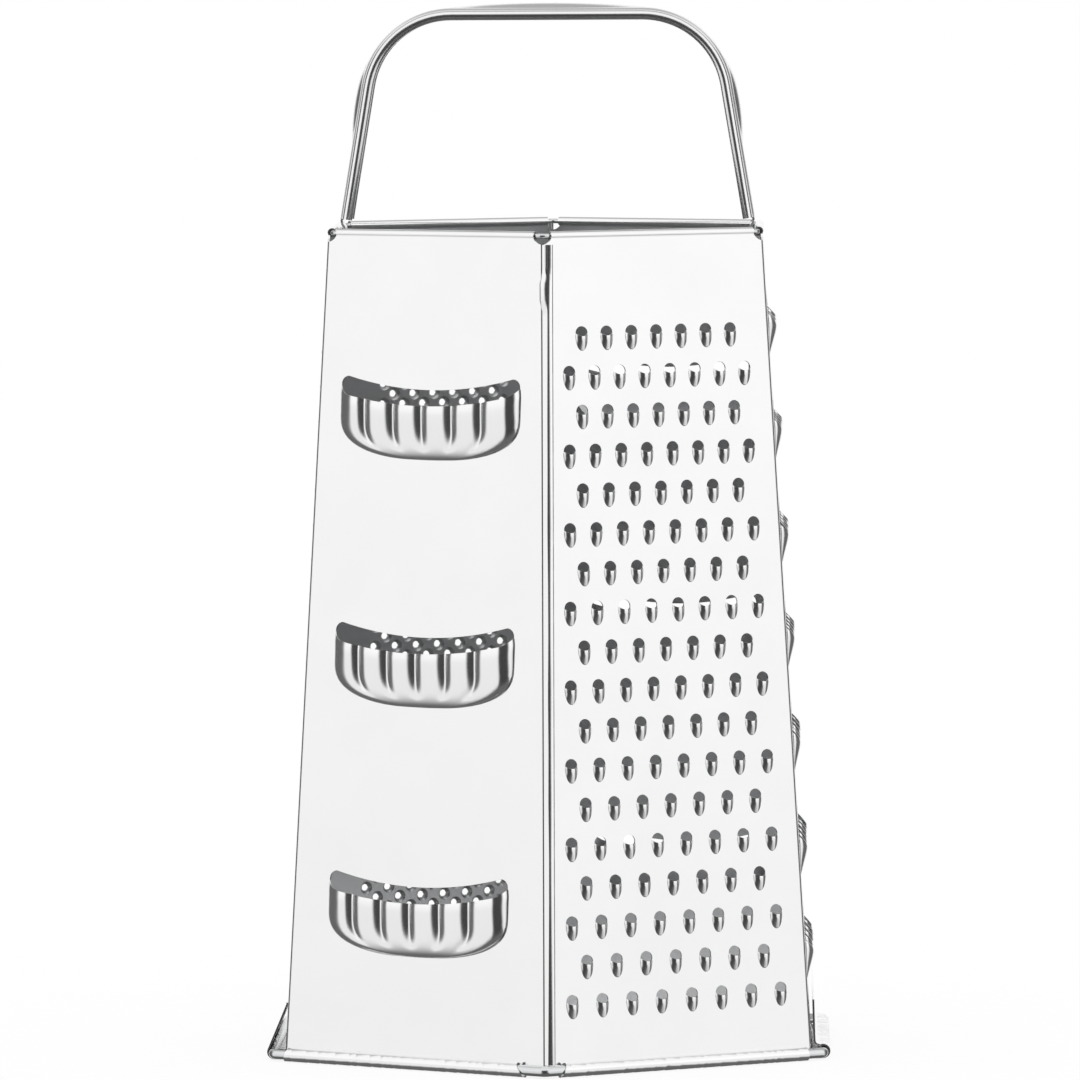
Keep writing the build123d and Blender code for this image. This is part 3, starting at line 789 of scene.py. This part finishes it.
def lip_curve(u):
    """Height of the lip over its middle: a shallow bow that turns up at both ends."""
    turn_up = max(0.0, 1 - (slicer_half - abs(u)) / lip_turn_run)
    return slot_sag * (u / slicer_half) ** 2 + lip_turn_up * turn_up**2


def blade_rise(t, fall, half, fluted):
    """How far the blade stands out of the wall at a share of its half width."""
    rise = blade_height * (1 - (fall / blade_depth) ** blade_fall_power) ** (1 / blade_crown_power)
    rise *= 1 - blade_taper * fall / blade_depth
    if fluted and fall < flute_length:
        near = min(abs(slicer_half * t - mark) for mark in flute_marks)
        valley = max(0.0, 1 - max(0.0, near - flute_root) / flute_half) ** flute_power
        rise -= flute_depth * (1 - (fall / flute_length) ** flute_fade_power) * valley
    for distance, run in zip((half * (1 + t), half * (1 - t)), blade_end_runs):
        gap = max(0.0, 1 - distance / run)
        rise *= (1 - gap**blade_end_power) ** (1 / blade_end_power)
    return rise


def slicer(lip, fluted):
    """Rows of the blade's points from its lip to its foot."""
    joints = [-slicer_half] + flute_marks + [slicer_half]
    columns = []
    for a, b in zip(joints, joints[1:]):
        columns += [a + (b - a) * (1 - cos(pi * i / rib_columns)) / 2 for i in range(rib_columns)]
    columns = np.array(columns + [slicer_half]) / slicer_half
    grid = []
    for share in np.sin(np.linspace(0, pi / 2, blade_rows)):
        fall = share * blade_depth
        below = max(0.0, fall - square_depth) / (blade_depth - square_depth)
        half = slicer_half * (1 - below**blade_foot_power) ** (1 / blade_foot_power)
        row = []
        for t in columns:
            v = lip + lip_curve(slicer_half * t) * (1 - share) - fall
            row.append((half * t, v, middle + blade_rise(t, fall, half, fluted)))
        grid.append(row)
    return grid


def slicer_opening(lip, fluted):
    """Outline of the slot and its blade on the flat sheet, and the blade's points and faces."""
    grid = slicer(lip, fluted)
    across, along = len(grid[0]) - 1, len(grid) - 1
    points = [p for row in grid[:-1] for p in row] + [(0.0, lip - blade_depth, middle)]
    tip, last = len(points) - 1, (along - 1) * (across + 1)
    faces = grid_faces(along, across + 1) + [(last + c, last + c + 1, tip) for c in range(across)]
    left = [row[0][:2] for row in grid[:-1]]
    right = [row[-1][:2] for row in grid[:-1]]
    radius = slot_width / 2
    end_v = lip + slot_sag + radius
    top = [
        (u, lip + slot_width + slot_sag * (u / (slicer_half - radius)) ** 2)
        for u in np.linspace(slicer_half - radius, radius - slicer_half, slot_points)
    ]
    right_end = [
        (slicer_half - radius + radius * cos(a), end_v + radius * sin(a))
        for a in np.linspace(0, pi / 2, end_points)[:-1]
    ]
    left_end = [(-u, v) for u, v in right_end[::-1]]
    outline = right_end + top + left_end + left + [points[tip][:2]] + right[::-1]
    return outline, (points, faces)


def slicer_wall(name, azimuth, gaps, slants, fluted):
    """Finished sheet of a slicer wall, with the outer fold of its seam."""
    holes, patches = [], []
    for lip in lip_heights:
        outline, blade = slicer_opening(lip if fluted else lip + back_slot_rise, fluted)
        holes.append(outline)
        patches.append(blade)
    work = wall_sheet(azimuth, close_hem_profile, close_wire_offset, gaps, slants, holes, patches)
    seam_run(work, azimuth + 60, outer_fold, 0.0 if fluted else back_seam_above)
    return work.make(name, sheet, bright_tin, shaded_inner_tin)


wavy_sheet = slicer_wall("wavy_slicer_sheet", wavy_azimuth, wavy_gaps, wavy_slants, fluted=True)
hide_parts("wavy_slicer_wall")
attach(wavy_sheet, "root")

straight_sheet = slicer_wall(
    "straight_slicer_sheet", straight_azimuth, straight_gaps, straight_slants, fluted=False
)
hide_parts("straight_slicer_wall")
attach(straight_sheet, "root")

# Wires
# Round drawn wire bent to a hexagon: a thin one inside the rolled rim, and a
# thick one inside the base hem, which shows bare at the corners of the base.
rim_wire_bend, base_wire_bend = 1.6, 1.5
wire_steps, wire_sides = 6, 20


def meeting(first, first_angle, second, second_angle):
    """Corner where two lines meet, given their distances and directions from the axis."""
    a, b = radians(first_angle), radians(second_angle)
    spread = sin(b - a)
    return np.array([first * sin(b) - second * sin(a), second * cos(a) - first * cos(b)]) / spread


def wire_ring(name, distances, level, size, bend):
    """Closed tube round the corners where lines at those distances meet."""
    corners = [meeting(distances[i - 1], 60 * i - 60, distances[i], 60 * i) for i in range(6)]
    path = []
    for i, point in enumerate(corners):
        back, on = corners[i - 1] - point, corners[(i + 1) % 6] - point
        back, on = back / np.linalg.norm(back), on / np.linalg.norm(on)
        run = bend * tan(corner)
        centre = point + (back + on) / np.linalg.norm(back + on) * bend / cos(corner)
        start, end = point + back * run - centre, point + on * run - centre
        first = atan2(start[1], start[0])
        sweep = (atan2(end[1], end[0]) - first + pi) % (2 * pi) - pi
        for k in range(wire_steps + 1):
            a = first + sweep * k / wire_steps
            path.append(centre + bend * np.array([cos(a), sin(a)]))
    path = np.array(path)
    count = len(path)
    rows = []
    for i in range(count + 1):
        here, before, after = path[i % count], path[(i - 1) % count], path[(i + 1) % count]
        run = (after - before) / np.linalg.norm(after - before)
        out = np.array([run[1], -run[0]])
        row = []
        for k in range(wire_sides + 1):
            a = 2 * pi * k / wire_sides
            x, y = here + out * size / 2 * cos(a)
            row.append((x, y, level + size / 2 * sin(a)))
        rows.append(row)
    grid = np.array(rows) * MM
    work = Sheetwork()
    work.add(grid.reshape(-1, 3), grid_faces(*grid.shape[:2]))
    return work.make(name, 0, drawn_wire)


rim_wire_line = rim_slope - rim_roll
rim_distance = base_apothem - rim_wire_line * sin(lean) - rim_roll * cos(lean)
rim_level = rim_wire_line * cos(lean) - rim_roll * sin(lean)
rim_rod = wire_ring("rim_wire_rod", [rim_distance] * 6, rim_level, rim_wire_size, rim_wire_bend)
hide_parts("rim_wire")
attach(rim_rod, "root")

base_level = base_roll - foot_flat
level_apothem = base_apothem - base_level * tan(lean)
close_side, far_side = level_apothem + close_wire_offset, level_apothem + side_wire_offset
base_distances = [far_side, close_side, close_side] * 2
base_rod = wire_ring("base_wire_rod", base_distances, base_level, base_wire_size, base_wire_bend)
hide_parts("base_wire")
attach(base_rod, "root")

# Handle
# One strip of tinplate with both edges rolled into beads, bent to a bow, with a
# long rib pressed up in the grip and a short one in each leg. The ends narrow
# to tongues that are hooked into the rolled rim.
handle_top, handle_foot, handle_half_span = 232.5, 186.6, 45.25
handle_lean, handle_elbow = radians(9.4), 19.1
handle_sheet, handle_bead, handle_width = 0.5, 2.15, 13.5
handle_depth, web_crown = 2.7, 0.6
web_offset = (handle_depth - handle_sheet) / 2
rib_width, top_rib, leg_rib, leg_rib_level = 6.5, (44.0, 1.1), (19.0, 1.0), 212.5
rib_along_power, rib_cross_power, web_edge_run, web_points = 0.8, 0.9, 2.4, 37
leg_stations, elbow_stations, grip_stations = 40, 19, 30
bead_start, bead_turn, bead_step, grip_slack = 380, -290, 12, 0.01
tongue_half, tongue_room, tongue_taper, tongue_start = 4.5, 0.25, 0.94, (0.06, -0.5)
tongue_bends_in = ((0.5, 1.1), (0.1, 0.6), (0.0, 0.0))
tongue_bends_out = ((0.0, 0.6), (0.2, 0.15), (0.6, 0.0))


def handle_stations():
    """Places x, z and outward normals along the bow, from the left foot to the right."""
    centre_z = handle_top - handle_elbow
    leg_run = (centre_z - handle_foot) * tan(handle_lean)
    centre_x = handle_half_span - leg_run - handle_elbow / cos(handle_lean)
    normal = np.array([-cos(handle_lean), sin(handle_lean)])
    foot = np.array([-handle_half_span, handle_foot])
    leg_end = np.array([-centre_x, centre_z]) + normal * handle_elbow
    stations = [(foot + (leg_end - foot) * s, normal) for s in np.linspace(0, 1, leg_stations)]
    for a in np.linspace(pi - handle_lean, pi / 2, elbow_stations)[1:]:
        out = np.array([cos(a), sin(a)])
        stations.append((np.array([-centre_x, centre_z]) + out * handle_elbow, out))
    for x in np.linspace(-centre_x, 0, grip_stations)[1:]:
        stations.append((np.array([x, handle_top]), np.array([0.0, 1.0])))
    flip = np.array([-1.0, 1.0])
    return stations + [(p * flip, n * flip) for p, n in stations[-2::-1]]


def rib_rise(x, z, y):
    """How far a pressed rib lifts the web at a place of the bow."""
    cross = max(0.0, 1 - (2 * y / rib_width) ** 2)
    if z > handle_top - grip_slack:
        along = max(0.0, 1 - (2 * x / top_rib[0]) ** 2)
        return top_rib[1] * along**rib_along_power * cross**rib_cross_power
    along = max(0.0, 1 - (2 * (z - leg_rib_level) / leg_rib[0]) ** 2)
    return leg_rib[1] * along**rib_along_power * cross**rib_cross_power


def web_level(y):
    """Height of the crowned web over the path, at a distance from its middle."""
    edge = (handle_width - handle_bead) / 2
    share = min(1.0, max(0.0, (edge - abs(y)) / web_edge_run))
    return web_offset - web_crown * (1 - share * share * (3 - 2 * share))


def bead_profile():
    """The strip's section: the web between two edges that are rolled under."""
    edge = (handle_width - handle_bead) / 2
    radius = (handle_bead - handle_sheet) / 2
    left = arc_points((-edge, web_level(edge) - radius), radius, bead_start, bead_turn, bead_step)
    web = [(y, web_level(y)) for y in np.linspace(-edge, edge, web_points)[1:-1]]
    right = [(-y, n) for y, n in left[::-1]]
    return left + web + right


def tongue_line():
    """Places x, z of the left tongue's middle line below the foot of the leg."""
    normal = np.array([-cos(handle_lean), sin(handle_lean)])
    foot = np.array([-handle_half_span, handle_foot]) + normal * web_offset
    inner_x = rim_distance - rim_proud - rim_roll - tongue_room - handle_sheet / 2
    hook_z = rim_level - rim_roll - tongue_room - handle_sheet / 2
    wall_x = base_apothem - hook_z * tan(lean) - sheet - tongue_room
    turn_in = [(-inner_x - out, rim_level + up) for out, up in tongue_bends_in]
    turn_out = [(-inner_x - out, hook_z + up) for out, up in tongue_bends_out]
    return [foot, foot + np.array(tongue_start)] + turn_in + turn_out + [(-wall_x, hook_z)]


bow = Sheetwork()
profile = bead_profile()
rows = []
for place, normal in handle_stations():
    row = []
    for y, n in profile:
        lifted = n + (rib_rise(place[0], place[1], y) if abs(y) < rib_width / 2 else 0.0)
        x, z = place + normal * lifted
        row.append((x, y, z))
    rows.append(row)
grid = np.array(rows) * MM
bow.add(grid.reshape(-1, 3), grid_faces(*grid.shape[:2]))
web_places = [(i, y) for i, (y, n) in enumerate(profile) if abs(y) < tongue_half and n > 0]
for mirror, foot_row in ((1, rows[0]), (-1, rows[-1])):
    tongue = [[foot_row[i] for i, y in web_places]]
    tongue += [[(mirror * x, y * tongue_taper, z) for i, y in web_places] for x, z in tongue_line()[1:]]
    grid = np.array(tongue) * MM
    bow.add(grid.reshape(-1, 3), grid_faces(*grid.shape[:2]))
handle_bow = bow.make("handle_strip", handle_sheet, rolled_strip_tin)
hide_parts("handle")
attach(handle_bow, "root")
